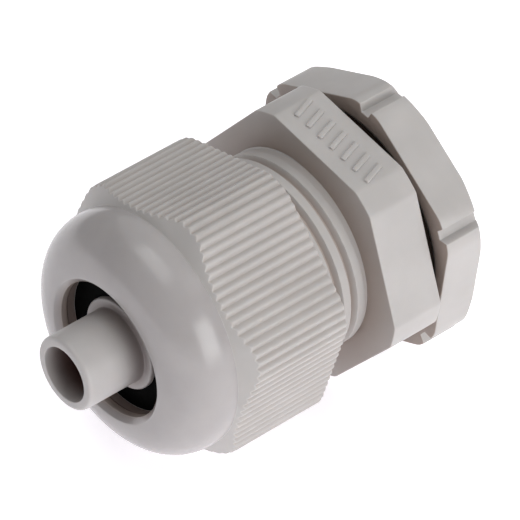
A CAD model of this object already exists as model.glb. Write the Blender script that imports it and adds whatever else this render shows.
import math

import bmesh
import bpy
import numpy as np
from mathutils import Matrix, Vector


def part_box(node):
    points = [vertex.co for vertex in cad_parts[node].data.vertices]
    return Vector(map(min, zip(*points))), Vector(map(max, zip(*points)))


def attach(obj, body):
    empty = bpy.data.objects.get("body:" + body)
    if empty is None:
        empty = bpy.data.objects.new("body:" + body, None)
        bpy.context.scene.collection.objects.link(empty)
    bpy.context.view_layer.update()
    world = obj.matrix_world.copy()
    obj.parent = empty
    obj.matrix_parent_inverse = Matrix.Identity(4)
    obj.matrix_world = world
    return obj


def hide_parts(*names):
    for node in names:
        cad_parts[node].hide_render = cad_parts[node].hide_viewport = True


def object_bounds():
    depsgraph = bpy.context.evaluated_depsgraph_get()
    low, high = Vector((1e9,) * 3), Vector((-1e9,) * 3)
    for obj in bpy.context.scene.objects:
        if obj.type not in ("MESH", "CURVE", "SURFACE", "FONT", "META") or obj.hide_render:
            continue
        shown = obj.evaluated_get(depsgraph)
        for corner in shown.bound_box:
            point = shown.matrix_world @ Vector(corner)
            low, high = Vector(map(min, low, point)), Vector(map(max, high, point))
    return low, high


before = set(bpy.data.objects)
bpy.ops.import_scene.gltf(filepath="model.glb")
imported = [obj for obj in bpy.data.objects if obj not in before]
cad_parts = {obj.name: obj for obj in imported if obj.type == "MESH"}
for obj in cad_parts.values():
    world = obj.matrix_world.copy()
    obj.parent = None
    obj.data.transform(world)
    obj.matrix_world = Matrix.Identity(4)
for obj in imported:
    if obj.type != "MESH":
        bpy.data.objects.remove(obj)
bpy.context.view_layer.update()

MM = 0.001


def axial(node):
    """Front and rear end of a CAD node along the gland's axis, in millimetres."""
    low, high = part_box(node)
    return low.y / MM, high.y / MM


# ---------------------------------------------------------------- sizes, in millimetres
# Sizes that end in HALF are from the axis to a flat, and those in CORNER to a rounded corner.
# Turns are in degrees about the axis.
BODY_FRONT, BODY_REAR = axial("gland_body")
NUT_FRONT, NUT_REAR = axial("dome_nut")
LOCK_FRONT, LOCK_REAR = axial("locknut")
GASKET_FRONT, GASKET_REAR = axial("flange_gasket")
SEAL_FRONT, SEAL_REAR = axial("sealing_insert")
TUBE_FRONT, TUBE_REAR = axial("tube_insert")

HEX_FRONT, HEX_REAR = -5.5, 0.0
HEX_HALF, HEX_CORNER, HEX_TURN = 12.0, 13.18, 11.4
BORE_R, SEAT_R, SEAT_END = 6.8, 8.3, -12.5
COLLAR_R, COLLAR_FRONT = 9.47, -6.45

# Threads: a crest passes y = START at angle 0. SHARES are the parts of a pitch that
# the crest and each flank take.
CLAMP_ROOT, CLAMP_CREST, CLAMP_PITCH, CLAMP_START = 9.0, 9.58, 1.6, -8.3
CLAMP_SHARES = 0.50, 0.19
ENTRY_ROOT, ENTRY_CREST, ENTRY_PITCH, ENTRY_START = 9.1, 9.94, 1.5, 0.9
ENTRY_SHARES = 0.16, 0.34
LOCK_SHARES = 0.2, 0.3
LOCK_THREAD_PLAY, LOCK_THREAD_REACH = 0.1, 0.75  # beyond the panel thread's crests

NUT_HALF, NUT_CORNER, NUT_TURN = 11.97, 13.13, -12.4
NUT_RIBS, RIB_DEPTH, RIB_SHIFT = 90, 0.22, -0.25
RIB_SHARPNESS, VALLEY_TINT = 1.4, 0.4
DOME_R, DOME_ROUND, DOME_BASE_R, SHOULDER_SLOPE = 11.6, 4.45, 11.52, 0.82
MOUTH_R, MOUTH_STEP = 6.5, 0.18
LIP_REAR = NUT_FRONT + 2.1
NUT_BORE_R, NUT_BORE_MOUTH_R, CAVITY_R = 9.72, 10.2, 8.75
HINGE_Y = -23.0  # where the claw's fingers leave its ring
CAVITY_STEP = 1.2

LOCK_HALF, LOCK_CORNER, LOCK_TURN = 12.23, 13.28, -22.1
LOCK_GROOVE_HALF, LOCK_LIP, LOCK_GROOVE_DEPTH = 0.4, 0.4, 0.8
LOCK_CHAMFER_R, LOCK_CHAMFER_SLOPE = 12.45, 0.58
LOCK_FRONT_MOUTH_R, LOCK_LEAD_R, LOCK_REAR_MOUTH_R = 11.3, 10.4, 10.9

TUBE_R, TUBE_BORE_R, TUBE_COLLAR_R, TUBE_COLLAR_LENGTH = 3.55, 2.65, 4.4, 0.55
SEAL_R, SEAL_TAIL_R, SEAL_BORE_R = 6.66, 5.6, TUBE_R + 0.05
GASKET_BORE_R, GASKET_R = 10.06, 11.28

TICKS, TICK_SPACING, TICK_LEAN = 7, 1.55, 18.0
TICK_WIDTH, TICK_LENGTH, TICK_HEIGHT, TICK_ROUND = 0.5, 2.5, 0.2, 0.09


# ---------------------------------------------------------------- camera, as the photograph stands
def make_camera():
    azimuth, elevation = math.radians(48.86), math.radians(39.77)
    distance, lens = 0.433, 337.8
    aim = Vector((-1.46, -8.44, -1.03)) * MM
    back = Vector((math.sin(azimuth) * math.cos(elevation),
                   -math.cos(azimuth) * math.cos(elevation),
                   math.sin(elevation)))
    data = bpy.data.cameras.new("camera")
    data.lens = lens
    data.sensor_width = 36.0
    data.clip_start, data.clip_end = 0.01, 10.0
    camera = bpy.data.objects.new("camera", data)
    camera.location = aim + back * distance
    camera.rotation_mode = "QUATERNION"
    camera.rotation_quaternion = back.to_track_quat("Z", "Y")
    bpy.context.scene.collection.objects.link(camera)
    bpy.context.scene.camera = camera


make_camera()


# ---------------------------------------------------------------- shape helpers
def smooth_min(a, b, blend):
    """The lower of a and b, with the corner between them rounded over about blend."""
    h = np.clip(0.5 + 0.5 * (b - a) / blend, 0.0, 1.0)
    return b * (1 - h) + a * h - blend * h * (1 - h)


def smooth_step(x):
    x = np.clip(x, 0.0, 1.0)
    return float(x * x * (3 - 2 * x))


def hexagon(angle, half, corner, turn, blend=0.12):
    """Radius of a hexagon with its corners cut round, at an angle about the axis."""
    from_flat = (angle - turn + 30.0) % 60.0 - 30.0
    return smooth_min(half / np.cos(np.radians(from_flat)), corner, blend)


def fillet(corners, steps=4):
    """Rounds the corners of a closed outline. Each corner is (radius from the axis, y, round).

    Returns points [r, y] and, for each, how much it belongs to an outer edge.
    """
    longest_reach = 0.45  # of a side, so that two rounds on it never meet
    count = len(corners)
    points, edges = [], []
    for i, (r, y, size) in enumerate(corners):
        here = np.array([r, y])
        before = np.array(corners[i - 1][:2]) - here
        after = np.array(corners[(i + 1) % count][:2]) - here
        if size <= 0:
            points.append(here)
            edges.append(0.0)
            continue
        reach_1 = min(size, longest_reach * np.hypot(*before))
        reach_2 = min(size, longest_reach * np.hypot(*after))
        a = here + before / np.hypot(*before) * reach_1
        b = here + after / np.hypot(*after) * reach_2
        for k in range(steps + 1):
            t = k / steps
            points.append((1 - t) ** 2 * a + 2 * t * (1 - t) * here + t * t * b)
            edges.append(math.sin(math.pi * t))
    return points, edges


def make_mesh(name, verts, faces, wear, shade, sharp=38.0):
    """A piece from points in millimetres.

    wear is 1 at a rubbed outer edge, and shade is 1 deep in a recess: the materials read both.
    """
    mesh = bpy.data.meshes.new(name)
    mesh.from_pydata((np.asarray(verts) * MM).tolist(), [], faces)
    mesh.validate()
    mesh.update()
    for attribute, values in (("wear", wear), ("shade", shade)):
        layer = mesh.attributes.new(attribute, "FLOAT", "POINT")
        layer.data.foreach_set("value", np.asarray(values, np.float32))
    mesh.shade_smooth()
    mesh.set_sharp_from_angle(angle=math.radians(sharp))
    piece = bpy.data.objects.new(name, mesh)
    bpy.context.scene.collection.objects.link(piece)
    return piece


def unshaded(angle, r, y):
    return 0.0


def lathe(name, angles, profile, shading=unshaded):
    """A ring-shaped solid about the axis: profile(angle) gives its closed outline at each angle.

    Angles are in degrees about +Y, from +Z towards +X. shading(angle, r, y) says how deep a
    point lies in a recess, from 0 to 1.
    """
    outlines, wear, shade = [], [], []
    for angle in angles:
        points, edges = profile(angle)
        turn = math.radians(angle)
        outlines.append([(r * math.sin(turn), y, r * math.cos(turn)) for r, y in points])
        wear.append(edges)
        shade.append([shading(angle, r, y) for r, y in points])
    verts = np.array(outlines)
    slices, rows = verts.shape[:2]
    faces = []
    for i in range(slices):
        j = (i + 1) % slices
        for k in range(rows):
            m = (k + 1) % rows
            faces.append((i * rows + k, j * rows + k, j * rows + m, i * rows + m))
    return make_mesh(name, verts.reshape(-1, 3), faces, np.ravel(wear), np.ravel(shade))


def by_length(half, corner, turn, count, shift):
    """Angles that step evenly along the outline of a hexagon, so that ribs on it are even."""
    fine = np.linspace(-10.0, 370.0, 7601) + turn
    r = hexagon(fine, half, corner, turn)
    x, z = r * np.sin(np.radians(fine)), r * np.cos(np.radians(fine))
    length = np.concatenate([[0.0], np.cumsum(np.hypot(np.diff(x), np.diff(z)))])
    start, end = np.interp([turn, turn + 360.0], fine, length)
    return np.interp(start + shift + (end - start) * np.arange(count) / count, length, fine)


def thread(y, angle, start, pitch, root, crest, shares):
    """Radius of a right-handed thread whose crest passes y = start at angle 0."""
    crest_share, flank_share = shares
    phase = (y - start) / pitch - angle / 360.0
    off_crest = abs((phase + 0.5) % 1.0 - 0.5)
    fall = (off_crest - crest_share / 2) / flank_share
    return crest - (crest - root) * min(max(fall, 0.0), 1.0)


# ---------------------------------------------------------------- pieces
def gland_body():
    lead_in = 0.8    # length over which each thread rises from its end
    neck_end = 0.3   # the plain neck behind the hexagon
    neck_rise = 0.7  # length over which the panel thread rises from that neck
    run_out = 0.2    # length over which the clamp thread ends in the collar
    groove_tint = 0.8
    face_tint, face_fade = 1.15, 4.5  # strongest at the collar, weaker towards the corners
    # rows along the clamp thread, closer together where it shows behind the nut
    hidden_rows = np.arange(BODY_FRONT + 0.25, NUT_REAR, CLAMP_PITCH / 12)
    shown_rows = np.arange(NUT_REAR + 0.1, HEX_FRONT - 0.02, 0.04)
    clamp_rows = np.append(hidden_rows, shown_rows)
    entry_rows = np.arange(0.55, BODY_REAR - 0.25, ENTRY_PITCH / 16)

    def clamp_r(y, angle):
        r = thread(y, angle, CLAMP_START, CLAMP_PITCH, CLAMP_ROOT, CLAMP_CREST, CLAMP_SHARES)
        r = CLAMP_ROOT + (r - CLAMP_ROOT) * smooth_step((y - BODY_FRONT) / lead_in)
        on_collar = smooth_step((y - COLLAR_FRONT) / run_out)
        return max(r, CLAMP_ROOT + (COLLAR_R - CLAMP_ROOT) * on_collar)

    def entry_r(y, angle):
        r = thread(y, angle, ENTRY_START, ENTRY_PITCH, ENTRY_ROOT, ENTRY_CREST, ENTRY_SHARES)
        fade = smooth_step((BODY_REAR - y) / lead_in) * smooth_step((y - neck_end) / neck_rise)
        return ENTRY_ROOT + (r - ENTRY_ROOT) * fade

    def profile(angle):
        hex_r = float(hexagon(angle, HEX_HALF, HEX_CORNER, HEX_TURN))
        corners = [(SEAT_R, BODY_FRONT, 0.05), (CLAMP_ROOT - 0.1, BODY_FRONT, 0.05)]
        corners += [(clamp_r(y, angle), y, 0) for y in clamp_rows]
        corners += [
            (COLLAR_R, HEX_FRONT, 0), (hex_r, HEX_FRONT, 0.13), (hex_r, HEX_REAR, 0.2),
            (ENTRY_ROOT, HEX_REAR, 0.1),
        ]
        corners += [(entry_r(y, angle), y, 0) for y in entry_rows]
        corners += [
            (ENTRY_ROOT, BODY_REAR, 0.12), (BORE_R, BODY_REAR, 0.3), (BORE_R, SEAT_END, 0.4),
        ]
        return fillet(corners)

    def shading(angle, r, y):
        in_groove, on_face = 0.0, 0.0
        if y < HEX_FRONT - 0.01:
            in_groove = groove_tint * (CLAMP_CREST - r) / (CLAMP_CREST - CLAMP_ROOT)
        if abs(y - HEX_FRONT) < 0.02:
            on_face = face_tint - (r - COLLAR_R) / face_fade
        return min(max(in_groove, on_face, 0.0), 1.0)

    return lathe("body", np.arange(0.0, 360.0, 0.5), profile, shading)


def dome_base_y():
    """Where the dome ends and the ribbed shoulder begins."""
    reach = DOME_BASE_R - (DOME_R - DOME_ROUND)
    return NUT_FRONT + DOME_ROUND + math.sqrt(DOME_ROUND ** 2 - reach ** 2)


def dome_nut():
    per_rib = 12       # angles
    dome_steps = 40
    rib_foot = 0.12    # from the bottom of a valley to where the shoulder is plain
    mouth_flare = 0.5
    mouth_depth = 0.9  # over which the mouth gets darker
    land_front, land_rear = NUT_FRONT + 0.5, NUT_FRONT + 1.1  # the narrowest part of the mouth
    step_rear = NUT_FRONT + 1.3
    bore_lead = 0.5
    room_for_fillet = 0.02  # radians, at the foot of the dome
    angles = by_length(NUT_HALF, NUT_CORNER, NUT_TURN, NUT_RIBS * per_rib, RIB_SHIFT)
    rib_of = {angle: (i % per_rib) / per_rib for i, angle in enumerate(angles)}
    centre_r = DOME_R - DOME_ROUND
    centre_y = NUT_FRONT + DOME_ROUND
    base_y = dome_base_y()
    base_angle = math.asin((base_y - centre_y) / DOME_ROUND)
    dome = [
        (centre_r + DOME_ROUND * math.cos(a), centre_y + DOME_ROUND * math.sin(a), 0)
        for a in np.linspace(-math.pi / 2, base_angle - room_for_fillet, dome_steps)
    ]

    def rib_height(angle):
        """From 0 in the valley between two ribs to 1 on the top of one."""
        return abs(math.sin(math.pi * rib_of[angle])) ** RIB_SHARPNESS

    def shoulder_y(r):
        return base_y + (r - DOME_BASE_R) * SHOULDER_SLOPE

    def profile(angle):
        outer = float(hexagon(angle, NUT_HALF, NUT_CORNER, NUT_TURN, blend=0.3))
        r = outer - RIB_DEPTH * (1 - rib_height(angle))
        below_ribs = outer - RIB_DEPTH - rib_foot
        corners = [
            (MOUTH_R + MOUTH_STEP, LIP_REAR, 0.02),
            (MOUTH_R + MOUTH_STEP, step_rear, 0.05), (MOUTH_R, land_rear, 0.08),
            (MOUTH_R, land_front, 0.06), (MOUTH_R + mouth_flare, NUT_FRONT + 0.01, 0.06),
        ]
        corners += dome
        corners += [
            (DOME_BASE_R, base_y, 0.06), (below_ribs, shoulder_y(below_ribs), 0),
            (r, shoulder_y(r), 0.14), (r, NUT_REAR, 0.3), (below_ribs - 0.25, NUT_REAR, 0),
            (NUT_BORE_MOUTH_R, NUT_REAR, 0.1), (NUT_BORE_R, NUT_REAR - bore_lead, 0.1),
            (NUT_BORE_R, HINGE_Y + CAVITY_STEP, 0.2), (CAVITY_R, HINGE_Y, 0.2),
            (CAVITY_R, LIP_REAR, 0.2),
        ]
        return fillet(corners)

    def shading(angle, r, y):
        if r < MOUTH_R + MOUTH_STEP + 0.05:
            return smooth_step((y - NUT_FRONT) / mouth_depth)
        on_ribs = r > DOME_BASE_R and shoulder_y(r) + 0.04 < y < NUT_REAR - 0.05
        return VALLEY_TINT * (1 - rib_height(angle)) if on_ribs else 0.0

    return lathe("clamping_nut", angles, profile, shading)


def locknut():
    least_chamfer = 0.12
    # angles, closer together at the grooves
    coarse = np.arange(0.0, 360.0, 0.75)
    grooves = LOCK_TURN + 30.0 + 60.0 * np.arange(6)
    near_grooves = np.concatenate([g + np.arange(-4.5, 4.51, 0.15) for g in grooves]) % 360.0
    angles = np.unique(np.round(np.concatenate([coarse, near_grooves]), 3))
    rows = np.arange(LOCK_FRONT + 0.6, LOCK_REAR - 0.6, ENTRY_PITCH / 14)

    def inner_r(y, angle):
        """The nut's thread, which is the hollow of the panel thread with play."""
        crest, root = ENTRY_CREST + LOCK_THREAD_PLAY, ENTRY_CREST + LOCK_THREAD_REACH
        return root + crest - thread(y, angle, ENTRY_START, ENTRY_PITCH, crest, root, LOCK_SHARES)

    def profile(angle):
        outer = float(hexagon(angle, LOCK_HALF, LOCK_CORNER, LOCK_TURN, blend=0.25))
        from_groove = abs((angle - LOCK_TURN) % 60.0 - 30.0)
        across = math.radians(from_groove) * LOCK_CORNER
        r = outer - LOCK_GROOVE_DEPTH * (1 - smooth_step((across - LOCK_GROOVE_HALF) / LOCK_LIP))
        chamfer = max(least_chamfer, (r - LOCK_CHAMFER_R) * LOCK_CHAMFER_SLOPE)
        corners = [
            (LOCK_FRONT_MOUTH_R, LOCK_FRONT, 0.1), (r, LOCK_FRONT, 0.14),
            (r, LOCK_REAR - chamfer, 0.12), (min(r - 0.1, LOCK_CHAMFER_R), LOCK_REAR, 0.12),
            (LOCK_REAR_MOUTH_R, LOCK_REAR, 0.1),
        ]
        corners += [(inner_r(y, angle), y, 0) for y in rows[::-1]]
        corners += [(LOCK_LEAD_R, LOCK_FRONT + 0.4, 0.05)]
        return fillet(corners)

    def shading(angle, r, y):
        return 1.0 if y < LOCK_FRONT + 0.03 else 0.0

    return lathe("panel_locknut", angles, profile, shading)


def plain_ring(name, corners, shading=unshaded):
    outline = fillet(corners, 5)
    return lathe(name, np.arange(0.0, 360.0, 1.0), lambda angle: outline, shading)


def tube_insert():
    play = 0.02  # between the collar and the seal
    collar_front = SEAL_FRONT - TUBE_COLLAR_LENGTH - play
    collar_rear = SEAL_FRONT - play
    # rows without a corner, for the shading
    inside = [(TUBE_BORE_R, TUBE_FRONT + depth, 0) for depth in (6.0, 4.5, 3.0, 2.0, 1.0, 0.3)]
    outside = [(TUBE_R, NUT_FRONT + depth, 0) for depth in (-1.0, -0.5, 0.0, 0.4, 0.8, 1.2)]
    tip = [(TUBE_BORE_R, TUBE_FRONT, 0.1), (TUBE_R, TUBE_FRONT, 0.5)]
    collar = [
        (TUBE_R, collar_front, 0.18), (TUBE_COLLAR_R, collar_front, 0.22),
        (TUBE_COLLAR_R, collar_rear, 0.1), (TUBE_R, collar_rear, 0),
    ]
    tail = [(TUBE_R, TUBE_REAR, 0.2), (TUBE_BORE_R, TUBE_REAR, 0.1)]

    bore_fade, outer_fade = 3.5, 2.2  # lengths over which each surface gets darker
    tube_tint, collar_tint = 0.45, 0.2

    def shading(angle, r, y):
        if r < TUBE_BORE_R + 0.05:
            return smooth_step((y - TUBE_FRONT + 0.5) / bore_fade)
        if y > collar_front + 0.2:
            return 0.0
        deepest = tube_tint if r < TUBE_R + 0.3 else collar_tint
        return deepest * smooth_step((y - NUT_FRONT + 0.9) / outer_fade)

    return plain_ring("reducing_tube", inside + tip + outside + collar + tail, shading)


def sealing_insert():
    return plain_ring("rubber_seal", [
        (SEAL_BORE_R, SEAL_FRONT, 0.1), (SEAL_R, SEAL_FRONT, 0.04), (SEAL_R, HINGE_Y, 0.3),
        (SEAL_TAIL_R, SEAL_REAR, 0.3), (SEAL_BORE_R, SEAL_REAR, 0.2),
    ])


def flange_gasket():
    return plain_ring("flat_gasket", [
        (GASKET_BORE_R, GASKET_FRONT, 0.15), (GASKET_R, GASKET_FRONT, 0.25),
        (GASKET_R, GASKET_REAR, 0.25), (GASKET_BORE_R, GASKET_REAR, 0.15),
    ])


def tick_marks():
    """A row of slanted bars raised on the body's flat that faces up."""
    shape = bmesh.new()
    lean = Matrix.Rotation(math.radians(TICK_LEAN), 4, "Z")
    size = Matrix.Diagonal((TICK_WIDTH, TICK_LENGTH, 2 * TICK_HEIGHT, 1))
    for i in range(TICKS):
        along_flat = (i - (TICKS - 1) / 2) * TICK_SPACING
        middle = Matrix.Translation((along_flat, HEX_FRONT / 2, HEX_HALF))
        bmesh.ops.create_cube(shape, size=1.0, matrix=middle @ lean @ size)
    bmesh.ops.bevel(shape, geom=shape.edges[:], offset=TICK_ROUND, segments=3, profile=0.5,
                    affect="EDGES")
    turn = Matrix.Rotation(math.radians(HEX_TURN), 3, "Y")
    bmesh.ops.rotate(shape, verts=shape.verts, matrix=turn)
    verts = [vert.co[:] for vert in shape.verts]
    faces = [[vert.index for vert in face.verts] for face in shape.faces]
    shape.free()
    rubbed, no_shade = [0.4] * len(verts), [0.0] * len(verts)
    return make_mesh("tick_marks", verts, faces, rubbed, no_shade)


# ---------------------------------------------------------------- materials
# Noise scales are in features per metre.
MOTTLE, SATIN_PATCHES, MOULD_GRAIN = 260.0, 900.0, 5200.0
RUBBER_MOTTLE, RUBBER_PATCHES, RUBBER_GRAIN = 700.0, 2500.0, 3500.0


def new_material(name):
    material = bpy.data.materials.new(name)
    material.use_nodes = True
    nodes = material.node_tree.nodes
    return material, nodes, material.node_tree.links, nodes["Principled BSDF"]


def noise(nodes, links, scale, detail=3.0):
    where = nodes.new("ShaderNodeTexCoord")
    texture = nodes.new("ShaderNodeTexNoise")
    texture.inputs["Scale"].default_value = scale
    texture.inputs["Detail"].default_value = detail
    links.new(where.outputs["Object"], texture.inputs["Vector"])
    return texture.outputs["Fac"]


def ramp(nodes, links, value, low, high, at=(0.35, 0.65)):
    node = nodes.new("ShaderNodeValToRGB")
    node.color_ramp.elements[0].position, node.color_ramp.elements[1].position = at
    node.color_ramp.elements[0].color = (*low, 1)
    node.color_ramp.elements[1].color = (*high, 1)
    links.new(value, node.inputs["Fac"])
    return node.outputs["Color"]


def tint_where(nodes, links, base, attribute, colour, most):
    """Mixes a colour into base as far as a vertex attribute says, and at most this share of it."""
    where = nodes.new("ShaderNodeAttribute")
    where.attribute_name = attribute
    share = nodes.new("ShaderNodeMath")
    share.operation = "MULTIPLY"
    share.inputs[1].default_value = most
    links.new(where.outputs["Fac"], share.inputs[0])
    mix = nodes.new("ShaderNodeMix")
    mix.data_type = "RGBA"
    mix.inputs["B"].default_value = (*colour, 1)
    links.new(share.outputs[0], mix.inputs["Factor"])
    links.new(base, mix.inputs["A"])
    return mix.outputs["Result"]


def vary_roughness(nodes, links, shader, value, low, high):
    rough = nodes.new("ShaderNodeMapRange")
    rough.inputs["To Min"].default_value = low
    rough.inputs["To Max"].default_value = high
    links.new(value, rough.inputs["Value"])
    links.new(rough.outputs["Result"], shader.inputs["Roughness"])


def add_grain(nodes, links, shader, value, strength, height):
    """Bumps of this height, in metres."""
    bump = nodes.new("ShaderNodeBump")
    bump.inputs["Strength"].default_value = strength
    bump.inputs["Distance"].default_value = height
    links.new(value, bump.inputs["Height"])
    links.new(bump.outputs["Normal"], shader.inputs["Normal"])


def scaled(colour, factors):
    return tuple(min(1.0, c * k) for c, k in zip(colour, factors))


def moulded_plastic(name, colour, roughness, recess_tint):
    """Satin moulded plastic: slight mottling, mould grain, paler rubbed edges, tinted recesses."""
    material, nodes, links, shader = new_material(name)
    darker, paler, rubbed = (scaled(colour, [factor] * 3) for factor in (0.965, 1.03, 1.12))
    recessed = scaled(colour, recess_tint)
    surface = ramp(nodes, links, noise(nodes, links, MOTTLE), darker, paler)
    surface = tint_where(nodes, links, surface, "wear", rubbed, most=0.35)
    surface = tint_where(nodes, links, surface, "shade", recessed, most=1.0)
    links.new(surface, shader.inputs["Base Color"])
    patches = noise(nodes, links, SATIN_PATCHES, detail=4.0)
    grain = noise(nodes, links, MOULD_GRAIN, detail=2.0)
    vary_roughness(nodes, links, shader, patches, roughness - 0.05, roughness + 0.07)
    add_grain(nodes, links, shader, grain, strength=0.12, height=0.04 * MM)
    shader.inputs["Subsurface Weight"].default_value = 0.2
    shader.inputs["Subsurface Radius"].default_value = (1.0, 0.7, 0.5)
    shader.inputs["Subsurface Scale"].default_value = 0.2 * MM
    shader.inputs["IOR"].default_value = 1.5
    return material


def rubber(name, colour):
    material, nodes, links, shader = new_material(name)
    mottle = noise(nodes, links, RUBBER_MOTTLE)
    surface = ramp(nodes, links, mottle, scaled(colour, [0.5] * 3), colour)
    links.new(surface, shader.inputs["Base Color"])
    patches = noise(nodes, links, RUBBER_PATCHES)
    grain = noise(nodes, links, RUBBER_GRAIN)
    vary_roughness(nodes, links, shader, patches, 0.6, 0.8)
    add_grain(nodes, links, shader, grain, strength=0.2, height=0.05 * MM)
    shader.inputs["Specular IOR Level"].default_value = 0.02
    return material


WARM, DARK = (0.74, 0.63, 0.57), (0.2, 0.07, 0.05)
POLYAMIDE = moulded_plastic("light grey polyamide", (0.46, 0.44, 0.427), 0.4, WARM)
DOME_PLASTIC = moulded_plastic("light grey polyamide, polished", (0.384, 0.362, 0.359), 0.2, WARM)
TUBE_PLASTIC = moulded_plastic("light grey tube plastic", (0.444, 0.424, 0.417), 0.4, DARK)
RUBBER = rubber("black rubber", (0.003, 0.003, 0.003))
GASKET_RUBBER = rubber("brown-black rubber", (0.014, 0.009, 0.007))


def polish_dome(nut):
    """The dome is glossier than the ribbed sides."""
    nut.data.materials.append(POLYAMIDE)
    nut.data.materials.append(DOME_PLASTIC)
    for face in nut.data.polygons:
        x, y, z = face.center / MM
        if y < dome_base_y() and math.hypot(x, z) > MOUTH_R + 0.1:
            face.material_index = 1


def place(piece, body, node, material):
    if not piece.data.materials:
        piece.data.materials.append(material)
    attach(piece, body)
    if node:
        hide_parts(node)


place(gland_body(), "body", "gland_body", POLYAMIDE)
place(tick_marks(), "body", None, POLYAMIDE)
NUT = dome_nut()
polish_dome(NUT)
place(NUT, "dome_nut", "dome_nut", POLYAMIDE)
place(locknut(), "locknut", "locknut", POLYAMIDE)
place(tube_insert(), "tube", "tube_insert", TUBE_PLASTIC)
place(sealing_insert(), "claw", "sealing_insert", RUBBER)
place(flange_gasket(), "gasket", "flange_gasket", GASKET_RUBBER)
for node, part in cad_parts.items():
    if node.startswith("claw_"):
        part.data.materials.clear()
        part.data.materials.append(POLYAMIDE)


# ---------------------------------------------------------------- floor and light
def make_floor():
    """A pale floor that glows like a light table, just below the gland."""
    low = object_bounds()[0].z
    bpy.ops.mesh.primitive_plane_add(size=6.0, location=(0, 0, low - 0.02 * MM))
    floor = bpy.context.object
    floor.name = "floor"
    material, nodes, links, shader = new_material("pale floor")
    shader.inputs["Base Color"].default_value = (0.93, 0.93, 0.93, 1)
    shader.inputs["Roughness"].default_value = 0.9
    shader.inputs["Emission Color"].default_value = (0.97, 0.94, 1, 1)
    shader.inputs["Emission Strength"].default_value = 0.6
    floor.data.materials.append(material)


def area_light(name, direction, distance, size, level):
    """A soft box that lights a white card square to it, at the gland's middle, to this level."""
    data = bpy.data.lights.new(name, "AREA")
    data.shape = "RECTANGLE"
    data.size, data.size_y = size
    data.energy = level * (math.pi * distance) ** 2
    light = bpy.data.objects.new(name, data)
    middle = Vector((0, -12, 0)) * MM
    away = Vector(direction).normalized()
    light.location = middle + away * distance
    light.rotation_mode = "QUATERNION"
    light.rotation_quaternion = away.to_track_quat("Z", "Y")
    bpy.context.scene.collection.objects.link(light)


def make_light():
    bpy.context.scene.view_settings.view_transform = "Standard"
    world = bpy.data.worlds.new("studio")
    world.use_nodes = True
    world.node_tree.nodes["Background"].inputs["Color"].default_value = (1, 1, 1, 1)
    world.node_tree.nodes["Background"].inputs["Strength"].default_value = 0.2
    bpy.context.scene.world = world
    area_light("key", (0.965, 0.03, 0.26), 0.8, (0.55, 0.49), 0.6)
    area_light("back", (-0.2, 0.45, 0.87), 1.0, (1.8, 1.4), 0.55)
    area_light("overhead", (-0.04, -0.2, 0.98), 0.7, (0.5, 0.36), 0.24)


make_floor()
make_light()
